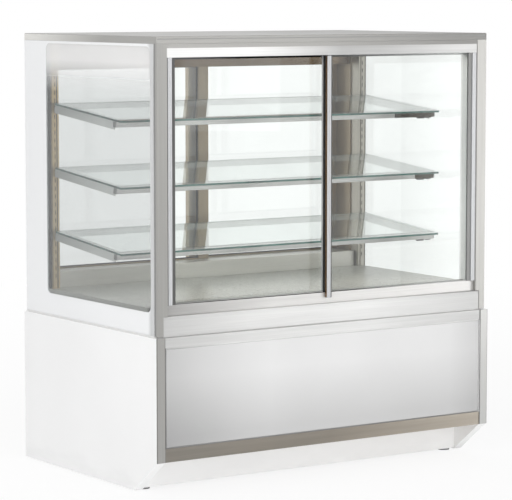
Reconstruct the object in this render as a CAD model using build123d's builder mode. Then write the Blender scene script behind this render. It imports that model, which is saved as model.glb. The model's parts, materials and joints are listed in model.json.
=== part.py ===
from build123d import *
import math
import os

os.makedirs("parts", exist_ok=True)

# A self-service bakery case, in millimetres
# Origin on the floor under the middle of the case, X to the right, Y to the rear, Z up

# Overall size
case_width = 1270
case_depth = 813
case_height = 1380

# Clearances and joints between pieces
running_gap = 0.3
fit_gap = 0.05
reveal = 3
seam = 3
fascia_gap = 4
floor_clearance = 4

# Lower cabinet
panel_thickness = 30
lower_height = 482
toe_height = 105
toe_depth = 132
edge_trim_thickness = 3
fascia_setback = 2.5
fascia_thickness = 18
sheet = 3
bottom_rail_height = 41
upper_trim_height = 31
fascia_overlap = 24
kick_thickness = 12
kick_clearance = 8
kick_radius = 1

# Base frame and feet
tube_width = 40
tube_wall = 3
frame_bottom = 30
frame_rear_setback = 10.5
foot_radius = 20
foot_height = 8
stem_radius = 5
stem_length = 62
foot_grip_radius = 9
foot_grip_height = 6

# Rear service panel
rear_panel_thickness = 12
rear_panel_setback = 6.5
vent_width = 70
vent_height = 5
vent_pitch_x = 110
vent_pitch_z = 14
vent_rows = 5
vent_columns = 4
vent_drop = 182
screw_inset_x = 18
screw_inset_z = 20
screw_columns = 4
screw_head_radius = 4
screw_head_height = 2.4
screw_radius = 2
screw_length = 10

# Cable gland
gland_inset = 125
gland_rise = 65
gland_radius = 10
gland_bore = 4
gland_flange_radius = 14
gland_flange = 4
gland_nut_radius = 13
gland_nut = 5

# Light switch
switch_inset = 125
switch_drop = 52
switch_radius = 9
switch_width = 12
switch_gap = 0.4
switch_centre_depth = 4
switch_end_angle = 52
switch_swing = 24
switch_pin_radius = 1.5
switch_pin_length = 2

# Lamp driver
driver_width = 45
driver_length = 180
driver_height = 70
driver_rear_gap = 88
driver_drop = 82
driver_radius = 3

# Upper case
side_inset = 8
front_inset = 8.5
rear_inset = 2.5
top_thickness = 22
top_chamfer = 2
end_glass_thickness = 6
border_thickness = 2
border_front = 20
border_rear = 140
border_bottom = 68
border_top = 8
window_radius = 20
end_glass_front = 17
end_glass_bottom = 5

# Deck and apron
deck_step = 23
apron_height = 60
apron_setback = 2
apron_thickness = 14

# Front posts and jambs
post_width = 37
post_face = 7
post_depth = 34
post_foot_width = 22
jamb_width = 18
jamb_groove = 11

# Front door tracks
sill_height = 33
sill_front = 20.5
header_front = 10.5
header_height = 41
track_depth = 22
groove_width = 14
outer_groove_setback = 33.5
groove_pitch = 24
track_setback = 72.5

# Front doors
door_glass = 6
door_edge = 7
door_overlap = 14
stile_start = -5
stile_width = 17
stile_bar = 10
stile_body = 14
stile_cover = 3
stile_drop = 16
stile_rear = 6
stile_head_gap = 2
stile_groove_width = 1.6
stile_groove_depth = 1
glass_top_gap = 8
shoe_width = 11
shoe_lift = 3
shoe_height = 18
shoe_pocket = 6.5
shoe_inset = 4
roller_radius = 6
roller_width = 4
roller_gap = 0.4
roller_pocket_gap = 1.5
roller_inset = 60
axle_radius = 1.5
axle_length = 10

# Rear posts, sill and header
rear_post_width = 34
rear_post_depth = 116
rear_track_setback = 4
rear_sill_depth = 136
rear_sill_height = 52
rear_header_depth = 100
rear_header_height = 93
rear_track_depth = 14
rear_head_track_depth = 20
rear_groove_width = 20
rear_inner_setback = 54
rear_groove_pitch = 26
profile_wall = 3

# Rear doors
rear_door_thickness = 18
rear_door_stile = 40
rear_door_rail = 18
rear_door_overlap = 32
rear_door_glass = 5
rear_glass_bite = 8
rear_door_side_gap = 2
rear_door_head_gap = 2
pull_width = 18
pull_height = 90
pull_depth = 7

# Shelf standards
standard_width = 28
standard_depth = 44
standard_wall = 2
standard_setback = 160
standard_inset = 1
slot_pitch = 25.4
slot_width = 4
slot_height = 14
first_slot_rise = 41.2
slot_count = 28

# Shelves
shelf_tilt = 5.6
lowest_shelf_slot = 5
shelf_slot_step = 8
shelf_count = 3
shelf_side_gap = 7
shelf_glass = 6
shelf_reach = 416
shelf_rear_gap = 12
arm_height = 27
arm_thickness = 3
arm_flange = 12
arm_rise = 13.5
hook_depth = 6
hook_height = 8
hook_lip = 5
hook_lip_inner = 2.6
light_bar_setback = 24
light_bar_depth = 16
light_bar_height = 18
light_slot_width = 10
light_slot_depth = 2
rear_bar_depth = 16
rear_bar_height = 18
rear_bar_inset = 14

# Canopy light
canopy_light_gap = 12
canopy_light_depth = 40
canopy_light_height = 24
canopy_light_chamfer = 8
canopy_slot_width = 20
canopy_slot_depth = 3

# Shared levels and planes
half_width = case_width / 2
front_y = -case_depth / 2
rear_y = case_depth / 2
inner_x = half_width - panel_thickness
upper_x = half_width - side_inset
upper_front = front_y + front_inset
upper_rear = rear_y - rear_inset
upper_bottom = lower_height + seam
top_bottom = case_height - top_thickness
glass_inner_x = upper_x - end_glass_thickness
border_inner_x = glass_inner_x - border_thickness
fascia_front = front_y + fascia_setback
fascia_back = fascia_front + fascia_thickness
kick_front = front_y + toe_depth
kick_back = kick_front + kick_thickness
sill_bottom = upper_bottom + apron_height
deck_top = sill_bottom + deck_step
post_inner_x = upper_x - post_width
jamb_inner_x = post_inner_x - jamb_width
sill_top = sill_bottom + sill_height
header_bottom = top_bottom - header_height
outer_groove_y = front_y + outer_groove_setback
inner_groove_y = outer_groove_y + groove_pitch
track_rear = front_y + track_setback
groove_floor = sill_top - track_depth
rear_post_inner = border_inner_x - rear_post_width
rear_track_back = upper_rear - rear_track_setback
rear_sill_front = rear_track_back - rear_sill_depth
rear_header_front = rear_track_back - rear_header_depth
rear_inner_y = rear_track_back - rear_inner_setback
rear_outer_y = rear_inner_y + rear_groove_pitch
standard_front = upper_rear - standard_setback
first_slot_z = deck_top + first_slot_rise
rear_sill_top = deck_top + rear_sill_height
rear_header_bottom = top_bottom - rear_header_height
rear_panel_back = rear_y - rear_panel_setback
rear_panel_front = rear_panel_back - rear_panel_thickness
gland_x = -inner_x + gland_inset
gland_z = toe_height + gland_rise
switch_x = inner_x - switch_inset
switch_z = lower_height - switch_drop


def rect(u0, u1, v0, v1, mode=Mode.ADD):
    """Draw a rectangle between two values of each sketch axis."""
    with Locations(((u0 + u1) / 2, (v0 + v1) / 2)):
        Rectangle(abs(u1 - u0), abs(v1 - v0), mode=mode)


def save(piece, name):
    """Label one finished piece and write it to its own file."""
    piece.part.label = name
    export_step(piece.part, f"parts/{name}.step")


sides = ((-1, "left"), (1, "right"))

# Base frame of square-cut tube with a middle cross member and a bush over each foot
foot_x = inner_x - tube_width / 2
foot_ys = (kick_back + tube_width / 2, rear_y - frame_rear_setback - tube_width / 2)
frame_rear = rear_y - frame_rear_setback
with BuildPart() as base_frame:
    with BuildSketch(Plane.XY.offset(frame_bottom)):
        rect(-inner_x, inner_x, kick_back, frame_rear)
        rect(-inner_x + tube_width, -tube_width / 2, kick_back + tube_width, frame_rear - tube_width, Mode.SUBTRACT)
        rect(tube_width / 2, inner_x - tube_width, kick_back + tube_width, frame_rear - tube_width, Mode.SUBTRACT)
    extrude(amount=toe_height - frame_bottom)
    with BuildSketch(Plane.XY.offset(frame_bottom)):
        with Locations([(side * foot_x, y) for side, _ in sides for y in foot_ys]):
            Circle(stem_radius + fit_gap)
    extrude(amount=toe_height - frame_bottom, mode=Mode.SUBTRACT)
save(base_frame, "base_frame")

# Levelling feet: pad, hexagon for a spanner and threaded stem
for row, y in zip(("front", "rear"), foot_ys):
    for side, end in sides:
        with BuildPart() as levelling_foot:
            with BuildSketch():
                with Locations((side * foot_x, y)):
                    Circle(foot_radius)
            extrude(amount=foot_height, taper=12)
            with BuildSketch(Plane.XY.offset(foot_height)):
                with Locations((side * foot_x, y)):
                    RegularPolygon(foot_grip_radius, 6)
            extrude(amount=foot_grip_height)
            with BuildSketch(Plane.XY.offset(foot_height + foot_grip_height)):
                with Locations((side * foot_x, y)):
                    Circle(stem_radius)
            extrude(amount=stem_length)
        save(levelling_foot, f"levelling_foot_{row}_{end}")

# End panels of the lower cabinet, cut back at an angle over the toe space
panel_front = front_y + edge_trim_thickness
for side, end in sides:
    with BuildPart() as end_panel:
        with BuildSketch(Plane.YZ.offset(side * inner_x)):
            with BuildLine():
                Polyline(
                    (panel_front, toe_height),
                    (panel_front, lower_height),
                    (rear_y, lower_height),
                    (rear_y, floor_clearance),
                    (kick_front, floor_clearance),
                    close=True,
                )
            make_face()
        extrude(amount=side * panel_thickness)
    save(end_panel, f"end_panel_{end}")

    # Metal strip over the front edge of the end panel
    with BuildPart() as edge_trim:
        with BuildSketch(Plane.XY.offset(toe_height)):
            rect(side * inner_x, side * half_width, front_y, panel_front)
        extrude(amount=lower_height - toe_height)
    save(edge_trim, f"edge_trim_{end}")

# Bottom rail: a folded profile that closes the top of the toe space and carries the front panel
rail_top = toe_height + bottom_rail_height
with BuildPart() as bottom_rail:
    with BuildSketch(Plane.YZ.offset(-inner_x)):
        rect(fascia_front, fascia_front + sheet, toe_height, rail_top)
        rect(fascia_front, fascia_back + sheet, rail_top - sheet, rail_top)
        rect(fascia_back, fascia_back + sheet, rail_top - sheet, rail_top + fascia_overlap)
        rect(fascia_front, kick_back, toe_height, toe_height + sheet)
    extrude(amount=2 * inner_x)
save(bottom_rail, "bottom_rail")

# Trim band over the front panel, with a lip down behind it
band_bottom = lower_height - upper_trim_height
with BuildPart() as front_panel_trim:
    with BuildSketch(Plane.YZ.offset(-inner_x)):
        rect(fascia_front, fascia_front + sheet, band_bottom, lower_height)
        rect(fascia_front, fascia_back + sheet, lower_height - sheet, lower_height)
        rect(fascia_back, fascia_back + sheet, band_bottom - fascia_overlap, lower_height)
    extrude(amount=2 * inner_x)
save(front_panel_trim, "front_panel_trim")

# Front panel between the rail and the trim band
fascia_bottom = rail_top + reveal
fascia_top = band_bottom - reveal
fascia_x = inner_x - fascia_gap
with BuildPart() as front_panel:
    with BuildSketch(Plane.XZ.offset(-fascia_back)):
        rect(-fascia_x, fascia_x, fascia_bottom, fascia_top)
    extrude(amount=fascia_thickness)
    chamfer(front_panel.faces().sort_by(Axis.Y)[0].edges(), 2)
save(front_panel, "front_panel")

# Kick plate on the front of the base frame
with BuildPart() as kick_plate:
    with BuildSketch(Plane.XY.offset(kick_clearance)):
        rect(-inner_x, inner_x, kick_front, kick_back)
    extrude(amount=toe_height - kick_clearance)
    fillet(kick_plate.edges().filter_by(Axis.X).group_by(Axis.Z)[0], kick_radius)
save(kick_plate, "kick_plate")

# Rear service panel with vents, cable hole, screw holes and the cut-out of the switch
rear_panel_top = lower_height - seam
switch_y = (rear_panel_front + rear_panel_back) / 2
pin_reach = switch_width / 2 + switch_gap + switch_pin_length
screw_span = 2 * (inner_x - screw_inset_x)
screw_rows = (toe_height + screw_inset_z, rear_panel_top - screw_inset_z)
screw_places = [
    (-screw_span / 2 + column * screw_span / (screw_columns - 1), z)
    for column in range(screw_columns)
    for z in screw_rows
]
with BuildPart() as rear_panel:
    with BuildSketch(Plane.XZ.offset(-rear_panel_back)):
        rect(-inner_x, inner_x, toe_height, rear_panel_top)
        with Locations((0, lower_height - vent_drop)):
            with GridLocations(vent_pitch_x, vent_pitch_z, vent_columns, vent_rows):
                SlotOverall(vent_width, vent_height, mode=Mode.SUBTRACT)
        with Locations(screw_places):
            Circle(screw_radius + fit_gap, mode=Mode.SUBTRACT)
        with Locations((gland_x, gland_z)):
            Circle(gland_radius + fit_gap, mode=Mode.SUBTRACT)
        with Locations((switch_x, switch_z)):
            Rectangle(switch_width + 2 * switch_gap, 2 * (switch_radius + switch_gap), mode=Mode.SUBTRACT)
    extrude(amount=rear_panel_thickness)
    with BuildSketch(Plane.YZ.offset(switch_x - pin_reach)):
        with Locations((switch_y, switch_z)):
            Circle(switch_pin_radius + fit_gap)
    extrude(amount=2 * pin_reach, mode=Mode.SUBTRACT)
save(rear_panel, "rear_panel")

# Pan-head screws of the service panel
with BuildPart() as panel_screws:
    with BuildSketch(Plane.XZ.offset(-rear_panel_back)):
        with Locations(screw_places):
            Circle(screw_head_radius)
    extrude(amount=-screw_head_height)
    with BuildSketch(Plane.XZ.offset(-rear_panel_back)):
        with Locations(screw_places):
            Circle(screw_radius)
    extrude(amount=screw_length)
save(panel_screws, "panel_screws")

# Cable gland through the service panel, open for a cord
with BuildPart() as cable_gland:
    with BuildSketch(Plane.XZ.offset(-rear_panel_front + gland_nut)):
        with Locations((gland_x, gland_z)):
            RegularPolygon(gland_nut_radius, 6)
    extrude(amount=-gland_nut)
    with BuildSketch(Plane.XZ.offset(-rear_panel_front)):
        with Locations((gland_x, gland_z)):
            Circle(gland_radius)
    extrude(amount=-rear_panel_thickness)
    with BuildSketch(Plane.XZ.offset(-rear_panel_back)):
        with Locations((gland_x, gland_z)):
            Circle(gland_flange_radius)
    extrude(amount=-gland_flange)
    with BuildSketch(Plane.XZ.offset(-rear_panel_front + gland_nut)):
        with Locations((gland_x, gland_z)):
            Circle(gland_bore)
    extrude(amount=-(gland_nut + rear_panel_thickness + gland_flange), mode=Mode.SUBTRACT)
save(cable_gland, "cable_gland")

# Rocker of the light switch, at rest with its upper half pressed in
rest_turn = math.radians(switch_swing / 2)
end_turn = math.radians(switch_end_angle)


def rocker_point(radius, angle):
    """Place a point of the rocker's side view at a radius and an angle from the outward direction."""
    return (switch_y + radius * math.cos(angle), switch_z + radius * math.sin(angle))


with BuildPart() as light_switch:
    with BuildSketch(Plane.YZ.offset(switch_x - switch_width / 2)):
        with BuildLine():
            Line(rocker_point(switch_radius, rest_turn + end_turn), rocker_point(switch_centre_depth, rest_turn))
            Line(rocker_point(switch_centre_depth, rest_turn), rocker_point(switch_radius, rest_turn - end_turn))
            ThreePointArc(
                rocker_point(switch_radius, rest_turn - end_turn),
                rocker_point(switch_radius, rest_turn + math.pi),
                rocker_point(switch_radius, rest_turn + end_turn),
            )
        make_face()
    extrude(amount=switch_width)
    pin_end = pin_reach - switch_gap
    with BuildSketch(Plane.YZ.offset(switch_x - pin_end)):
        with Locations((switch_y, switch_z)):
            Circle(switch_pin_radius)
    extrude(amount=2 * pin_end)
save(light_switch, "light_switch")

# Lamp driver on the inner face of the left end panel
driver_back = rear_panel_front - driver_rear_gap
with BuildPart() as driver_box:
    with BuildSketch(Plane.XY.offset(lower_height - driver_drop - driver_height)):
        rect(-inner_x, -inner_x + driver_width, driver_back - driver_length, driver_back)
    extrude(amount=driver_height)
    fillet(driver_box.faces().sort_by(Axis.X)[-1].edges(), driver_radius)
save(driver_box, "driver_box")

# Deck pan: floor of the display, stepped down under the front track, with skirts on the end panels
deck_front = upper_front + apron_setback + apron_thickness
post_back = upper_front + post_depth
with BuildPart() as deck_pan:
    with BuildSketch(Plane.YZ.offset(-border_inner_x)):
        rect(deck_front, deck_front + sheet, upper_bottom, sill_bottom)
        rect(deck_front, track_rear + sheet, sill_bottom - sheet, sill_bottom)
        rect(track_rear, track_rear + sheet, sill_bottom - sheet, deck_top)
        rect(track_rear, upper_rear, deck_top - sheet, deck_top)
        rect(upper_rear - sheet, upper_rear, upper_bottom, deck_top)
    extrude(amount=2 * border_inner_x)
    for side, end in sides:
        with BuildSketch(Plane.YZ.offset(side * border_inner_x)):
            with BuildLine():
                Polyline(
                    (deck_front, lower_height),
                    (deck_front, sill_bottom),
                    (track_rear, sill_bottom),
                    (track_rear, deck_top),
                    (upper_rear, deck_top),
                    (upper_rear, lower_height),
                    close=True,
                )
            make_face()
        extrude(amount=-side * sheet)
        with BuildSketch(Plane.XY.offset(lower_height)):
            rect(side * (upper_x - post_foot_width), side * upper_x, deck_front, post_back)
        extrude(amount=deck_top - lower_height, mode=Mode.SUBTRACT)
save(deck_pan, "deck_pan")

# Apron under the front track
apron_x = upper_x - post_foot_width
with BuildPart() as apron:
    with BuildSketch(Plane.XY.offset(upper_bottom)):
        rect(-apron_x, apron_x, upper_front + apron_setback, deck_front)
    extrude(amount=sill_bottom - upper_bottom)
    fillet(apron.edges().filter_by(Axis.X).group_by(Axis.Y)[0].sort_by(Axis.Z)[-1], reveal)
save(apron, "apron")

# Front corner posts: a wide face over a body that the end glass laps
for side, end in sides:
    with BuildPart() as front_post:
        with BuildSketch(Plane.XZ.offset(-upper_front)):
            rect(side * (upper_x - post_foot_width), side * upper_x, upper_bottom, top_bottom)
            rect(side * post_inner_x, side * upper_x, sill_bottom, top_bottom)
        extrude(amount=-post_face)
        with BuildSketch(Plane.XZ.offset(-upper_front - post_face)):
            rect(side * (upper_x - post_foot_width), side * border_inner_x, lower_height, top_bottom)
            rect(side * post_inner_x, side * border_inner_x, sill_bottom, top_bottom)
        extrude(amount=-(post_depth - post_face))
        fillet(front_post.edges().filter_by(Axis.Z).group_by(Axis.Y)[0], 1)
    save(front_post, f"front_post_{end}")

    # Door jamb with a groove for each door
    with BuildPart() as jamb_channel:
        with BuildSketch(Plane.XY.offset(sill_top)):
            rect(side * jamb_inner_x, side * post_inner_x, upper_front + apron_setback, track_rear)
            for groove_y in (outer_groove_y, inner_groove_y):
                rect(
                    side * jamb_inner_x,
                    side * (jamb_inner_x + jamb_groove),
                    groove_y - groove_width / 2,
                    groove_y + groove_width / 2,
                    Mode.SUBTRACT,
                )
        extrude(amount=header_bottom - sill_top)
    save(jamb_channel, f"jamb_channel_{end}")

# Front door tracks: sill with grooves open upward, header with grooves open downward
track_pieces = (
    ("front_sill_track", front_y + sill_front, sill_bottom, sill_top, groove_floor, sill_top),
    (
        "front_header_track",
        front_y + header_front,
        header_bottom,
        top_bottom,
        header_bottom,
        header_bottom + track_depth,
    ),
)
for name, face_y, low, high, groove_low, groove_high in track_pieces:
    with BuildPart() as door_track:
        with BuildSketch(Plane.YZ.offset(-post_inner_x)):
            rect(face_y, track_rear, low, high)
            for groove_y in (outer_groove_y, inner_groove_y):
                rect(
                    groove_y - groove_width / 2,
                    groove_y + groove_width / 2,
                    groove_low,
                    groove_high,
                    Mode.SUBTRACT,
                )
        extrude(amount=2 * post_inner_x)
    save(door_track, name)

# End glasses and the opaque border behind each
glass_front = upper_front + end_glass_front
glass_low = lower_height + end_glass_bottom
for side, end in sides:
    with BuildPart() as end_glass:
        with BuildSketch(Plane.YZ.offset(side * glass_inner_x)):
            rect(glass_front, upper_rear, glass_low, top_bottom)
        extrude(amount=side * end_glass_thickness)
    save(end_glass, f"end_glass_{end}")

    with BuildPart() as end_border:
        with BuildSketch(Plane.YZ.offset(side * border_inner_x)):
            rect(glass_front, upper_rear, glass_low, top_bottom)
            window_low = (glass_front + border_front, glass_low + border_bottom)
            window_high = (upper_rear - border_rear, top_bottom - border_top)
            with Locations(((window_low[0] + window_high[0]) / 2, (window_low[1] + window_high[1]) / 2)):
                RectangleRounded(
                    window_high[0] - window_low[0],
                    window_high[1] - window_low[1],
                    window_radius,
                    mode=Mode.SUBTRACT,
                )
        extrude(amount=side * border_thickness)
    save(end_border, f"end_border_{end}")

# Top panel
with BuildPart() as top_panel:
    with BuildSketch(Plane.XY.offset(top_bottom)):
        rect(-upper_x, upper_x, upper_front, upper_rear)
    extrude(amount=top_thickness)
    chamfer(top_panel.faces().sort_by(Axis.Z)[-1].edges(), top_chamfer)
save(top_panel, "top_panel")

# Canopy light under the top, behind the front header
light_front = track_rear + canopy_light_gap
light_back = light_front + canopy_light_depth
light_low = top_bottom - canopy_light_height
with BuildPart() as canopy_light:
    with BuildSketch(Plane.YZ.offset(-jamb_inner_x)):
        with BuildLine():
            Polyline(
                (light_front, top_bottom),
                (light_back, top_bottom),
                (light_back, light_low + canopy_light_chamfer),
                (light_back - canopy_light_chamfer, light_low),
                (light_front + canopy_light_chamfer, light_low),
                (light_front, light_low + canopy_light_chamfer),
                close=True,
            )
        make_face()
        with Locations(((light_front + light_back) / 2, light_low + canopy_slot_depth / 2)):
            Rectangle(canopy_slot_width, canopy_slot_depth, mode=Mode.SUBTRACT)
    extrude(amount=2 * jamb_inner_x)
save(canopy_light, "canopy_light")

# Rear posts of hollow profile
for side, end in sides:
    with BuildPart() as rear_post:
        with BuildSketch(Plane.XY.offset(deck_top)):
            rect(side * rear_post_inner, side * border_inner_x, upper_rear - rear_post_depth, upper_rear)
            rect(
                side * (rear_post_inner + profile_wall),
                side * (border_inner_x - profile_wall),
                upper_rear - rear_post_depth + profile_wall,
                upper_rear - profile_wall,
                Mode.SUBTRACT,
            )
        extrude(amount=top_bottom - deck_top)
    save(rear_post, f"rear_post_{end}")

# Rear sill and rear header with two door grooves each
rear_grooves = [
    (y - rear_groove_width / 2, y + rear_groove_width / 2) for y in (rear_inner_y, rear_outer_y)
]
sill_floor = rear_sill_top - rear_track_depth
header_roof = rear_header_bottom + rear_head_track_depth
first_groove = rear_grooves[0][0]
with BuildPart() as rear_sill:
    with BuildSketch(Plane.YZ.offset(-rear_post_inner)):
        rect(rear_sill_front, rear_track_back, deck_top, rear_sill_top)
        for low, high in rear_grooves:
            rect(low, high, sill_floor, rear_sill_top, Mode.SUBTRACT)
        rect(
            rear_sill_front + profile_wall,
            first_groove - profile_wall,
            deck_top + profile_wall,
            rear_sill_top - profile_wall,
            Mode.SUBTRACT,
        )
        rect(
            first_groove,
            rear_track_back - profile_wall,
            deck_top + profile_wall,
            sill_floor - profile_wall,
            Mode.SUBTRACT,
        )
    extrude(amount=2 * rear_post_inner)
save(rear_sill, "rear_sill")

with BuildPart() as rear_header:
    with BuildSketch(Plane.YZ.offset(-rear_post_inner)):
        rect(rear_header_front, rear_track_back, rear_header_bottom, top_bottom)
        for low, high in rear_grooves:
            rect(low, high, rear_header_bottom, header_roof, Mode.SUBTRACT)
        rect(
            rear_header_front + profile_wall,
            first_groove - profile_wall,
            rear_header_bottom + profile_wall,
            top_bottom - profile_wall,
            Mode.SUBTRACT,
        )
        rect(
            first_groove,
            rear_track_back - profile_wall,
            header_roof + profile_wall,
            top_bottom - profile_wall,
            Mode.SUBTRACT,
        )
    extrude(amount=2 * rear_post_inner)
save(rear_header, "rear_header")

# Slotted shelf standards
standard_outer = border_inner_x - standard_inset
standard_inner = standard_outer - standard_width
standard_x = (standard_outer + standard_inner) / 2
for side, end in sides:
    with BuildPart() as shelf_standard:
        with BuildSketch(Plane.XY.offset(deck_top)):
            rect(side * standard_inner, side * standard_outer, standard_front, standard_front + standard_depth)
            rect(
                side * (standard_inner + standard_wall),
                side * (standard_outer - standard_wall),
                standard_front + standard_wall,
                standard_front + standard_depth,
                Mode.SUBTRACT,
            )
        extrude(amount=top_bottom - deck_top)
        with BuildSketch(Plane.XZ.offset(-standard_front)):
            with Locations([(side * standard_x, first_slot_z + i * slot_pitch) for i in range(slot_count)]):
                Rectangle(slot_width, slot_height)
        extrude(amount=-standard_wall, mode=Mode.SUBTRACT)
    save(shelf_standard, f"shelf_standard_{end}")

# Shelves, each drawn on a plane through its hooks that slopes down to the front
tilt = math.radians(shelf_tilt)
shelf_x = border_inner_x - shelf_side_gap
arm_low = arm_rise - arm_height
arm_rear_gap = (running_gap - arm_low * math.sin(tilt)) / math.cos(tilt)
bar_front = -shelf_reach + light_bar_setback
bar_back = bar_front + light_bar_depth


def shelf_plane(z, offset=0):
    """Give the sloped plane through the hooks at height z, raised by an offset square to the shelf."""
    plane = Plane(origin=(0, standard_front, z), x_dir=(1, 0, 0), z_dir=(0, -math.sin(tilt), math.cos(tilt)))
    return plane.offset(offset)


for number, level in enumerate(("lower", "middle", "upper")[:shelf_count]):
    hook_z = first_slot_z + (lowest_shelf_slot + number * shelf_slot_step) * slot_pitch

    # Shelf glass
    with BuildPart() as glass:
        with BuildSketch(shelf_plane(hook_z, arm_rise)):
            rect(-shelf_x, shelf_x, -shelf_reach, -shelf_rear_gap)
        extrude(amount=shelf_glass)
    save(glass, f"shelf_glass_{level}")

    # Frame: two arms with a flange under the glass, hooks and a rear bar
    with BuildPart() as shelf_frame:
        for side, end in sides:
            outer = side * (standard_x + arm_thickness / 2)
            inner = side * (standard_x - arm_thickness / 2)
            with BuildSketch(shelf_plane(hook_z, arm_low)):
                rect(inner, outer, bar_back, -arm_rear_gap)
            extrude(amount=arm_height)
            with BuildSketch(shelf_plane(hook_z, arm_rise - sheet)):
                rect(inner, side * (standard_x - arm_flange), bar_back, -shelf_rear_gap)
            extrude(amount=sheet)
            with BuildSketch(shelf_plane(hook_z, -hook_height / 2)):
                rect(inner, outer, -arm_rear_gap, hook_depth)
            extrude(amount=hook_height)
            with BuildSketch(shelf_plane(hook_z, -hook_height / 2 - hook_lip)):
                rect(inner, outer, hook_lip_inner, hook_depth)
            extrude(amount=hook_lip)
        with BuildSketch(shelf_plane(hook_z, arm_rise - rear_bar_height)):
            rect(
                -standard_x + arm_thickness / 2,
                standard_x - arm_thickness / 2,
                -rear_bar_inset - rear_bar_depth,
                -rear_bar_inset,
            )
        extrude(amount=rear_bar_height)
    save(shelf_frame, f"shelf_frame_{level}")

    # Light bar under the front edge of the glass
    with BuildPart() as shelf_light:
        with BuildSketch(shelf_plane(hook_z, arm_rise - light_bar_height)):
            rect(-shelf_x, shelf_x, bar_front, bar_back)
        extrude(amount=light_bar_height)
        with BuildSketch(shelf_plane(hook_z, arm_rise - light_bar_height)):
            with Locations((0, (bar_front + bar_back) / 2)):
                Rectangle(2 * standard_x, light_slot_width)
        extrude(amount=light_slot_depth, mode=Mode.SUBTRACT)
    save(shelf_light, f"shelf_light_{level}")

# Front doors: the right one on the outer track, the left one behind it
door_end = jamb_inner_x + door_edge
glass_bottom = groove_floor + shoe_lift + shoe_height - shoe_pocket
glass_top = header_bottom + track_depth - glass_top_gap
shoe_bottom = groove_floor + shoe_lift
axle_z = groove_floor + running_gap + roller_radius
doors = (
    ("left", inner_groove_y, -door_end, stile_start + door_overlap),
    ("right", outer_groove_y, stile_start + stile_cover, door_end),
)
for end, door_y, low_x, high_x in doors:
    with BuildPart() as door_pane:
        with BuildSketch(Plane.XZ.offset(-(door_y - door_glass / 2))):
            rect(low_x, high_x, glass_bottom, glass_top)
        extrude(amount=-door_glass)
    save(door_pane, f"front_door_glass_{end}")

    # Bottom shoe with a pocket for the glass and one for each roller
    roller_xs = (low_x + roller_inset, high_x - roller_inset)
    with BuildPart() as door_shoe:
        with BuildSketch(Plane.XY.offset(shoe_bottom)):
            rect(low_x + shoe_inset, high_x - shoe_inset, door_y - shoe_width / 2, door_y + shoe_width / 2)
        extrude(amount=shoe_height)
        with BuildSketch(Plane.XY.offset(glass_bottom)):
            rect(low_x, high_x, door_y - door_glass / 2, door_y + door_glass / 2)
        extrude(amount=shoe_pocket, mode=Mode.SUBTRACT)
        with BuildSketch(Plane.XY.offset(shoe_bottom)):
            with Locations([(x, door_y) for x in roller_xs]):
                Rectangle(2 * (roller_radius + roller_pocket_gap), roller_width + 2 * roller_gap)
        extrude(amount=axle_z + roller_radius + roller_gap - shoe_bottom, mode=Mode.SUBTRACT)
        with BuildSketch(Plane.XZ.offset(-(door_y - shoe_width / 2))):
            with Locations([(x, axle_z) for x in roller_xs]):
                Circle(axle_radius + fit_gap)
        extrude(amount=-shoe_width, mode=Mode.SUBTRACT)
    save(door_shoe, f"front_door_shoe_{end}")

    # Rollers on their axles
    for number, x in enumerate(roller_xs, start=1):
        with BuildPart() as door_roller:
            with BuildSketch(Plane.XZ.offset(-(door_y - axle_length / 2))):
                with Locations((x, axle_z)):
                    Circle(axle_radius)
            extrude(amount=-axle_length)
            with BuildSketch(Plane.XZ.offset(-(door_y - roller_width / 2))):
                with Locations((x, axle_z)):
                    Circle(roller_radius)
            extrude(amount=-roller_width)
        save(door_roller, f"door_roller_{end}_{number}")

# Meeting stile of the right door: a ribbed bar in front of the track and a body that grips the glass
stile_bottom = sill_top - stile_drop
stile_top = header_bottom - stile_head_gap
bar_back_y = upper_front + stile_bar
groove_start = stile_start + (stile_width - stile_groove_width) / 2
with BuildPart() as front_door_stile:
    with BuildSketch(Plane.XY.offset(stile_bottom)):
        rect(stile_start, stile_start + stile_width, upper_front, bar_back_y)
        rect(
            groove_start,
            groove_start + stile_groove_width,
            upper_front,
            upper_front + stile_groove_depth,
            Mode.SUBTRACT,
        )
    extrude(amount=stile_top - stile_bottom)
    with BuildSketch(Plane.XY.offset(sill_top + stile_head_gap)):
        rect(stile_start, stile_start + stile_body, bar_back_y, outer_groove_y + stile_rear)
        rect(
            stile_start + stile_cover,
            stile_start + stile_body,
            outer_groove_y - door_glass / 2,
            outer_groove_y + door_glass / 2,
            Mode.SUBTRACT,
        )
    extrude(amount=stile_top - sill_top - stile_head_gap)
save(front_door_stile, "front_door_stile")

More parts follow.
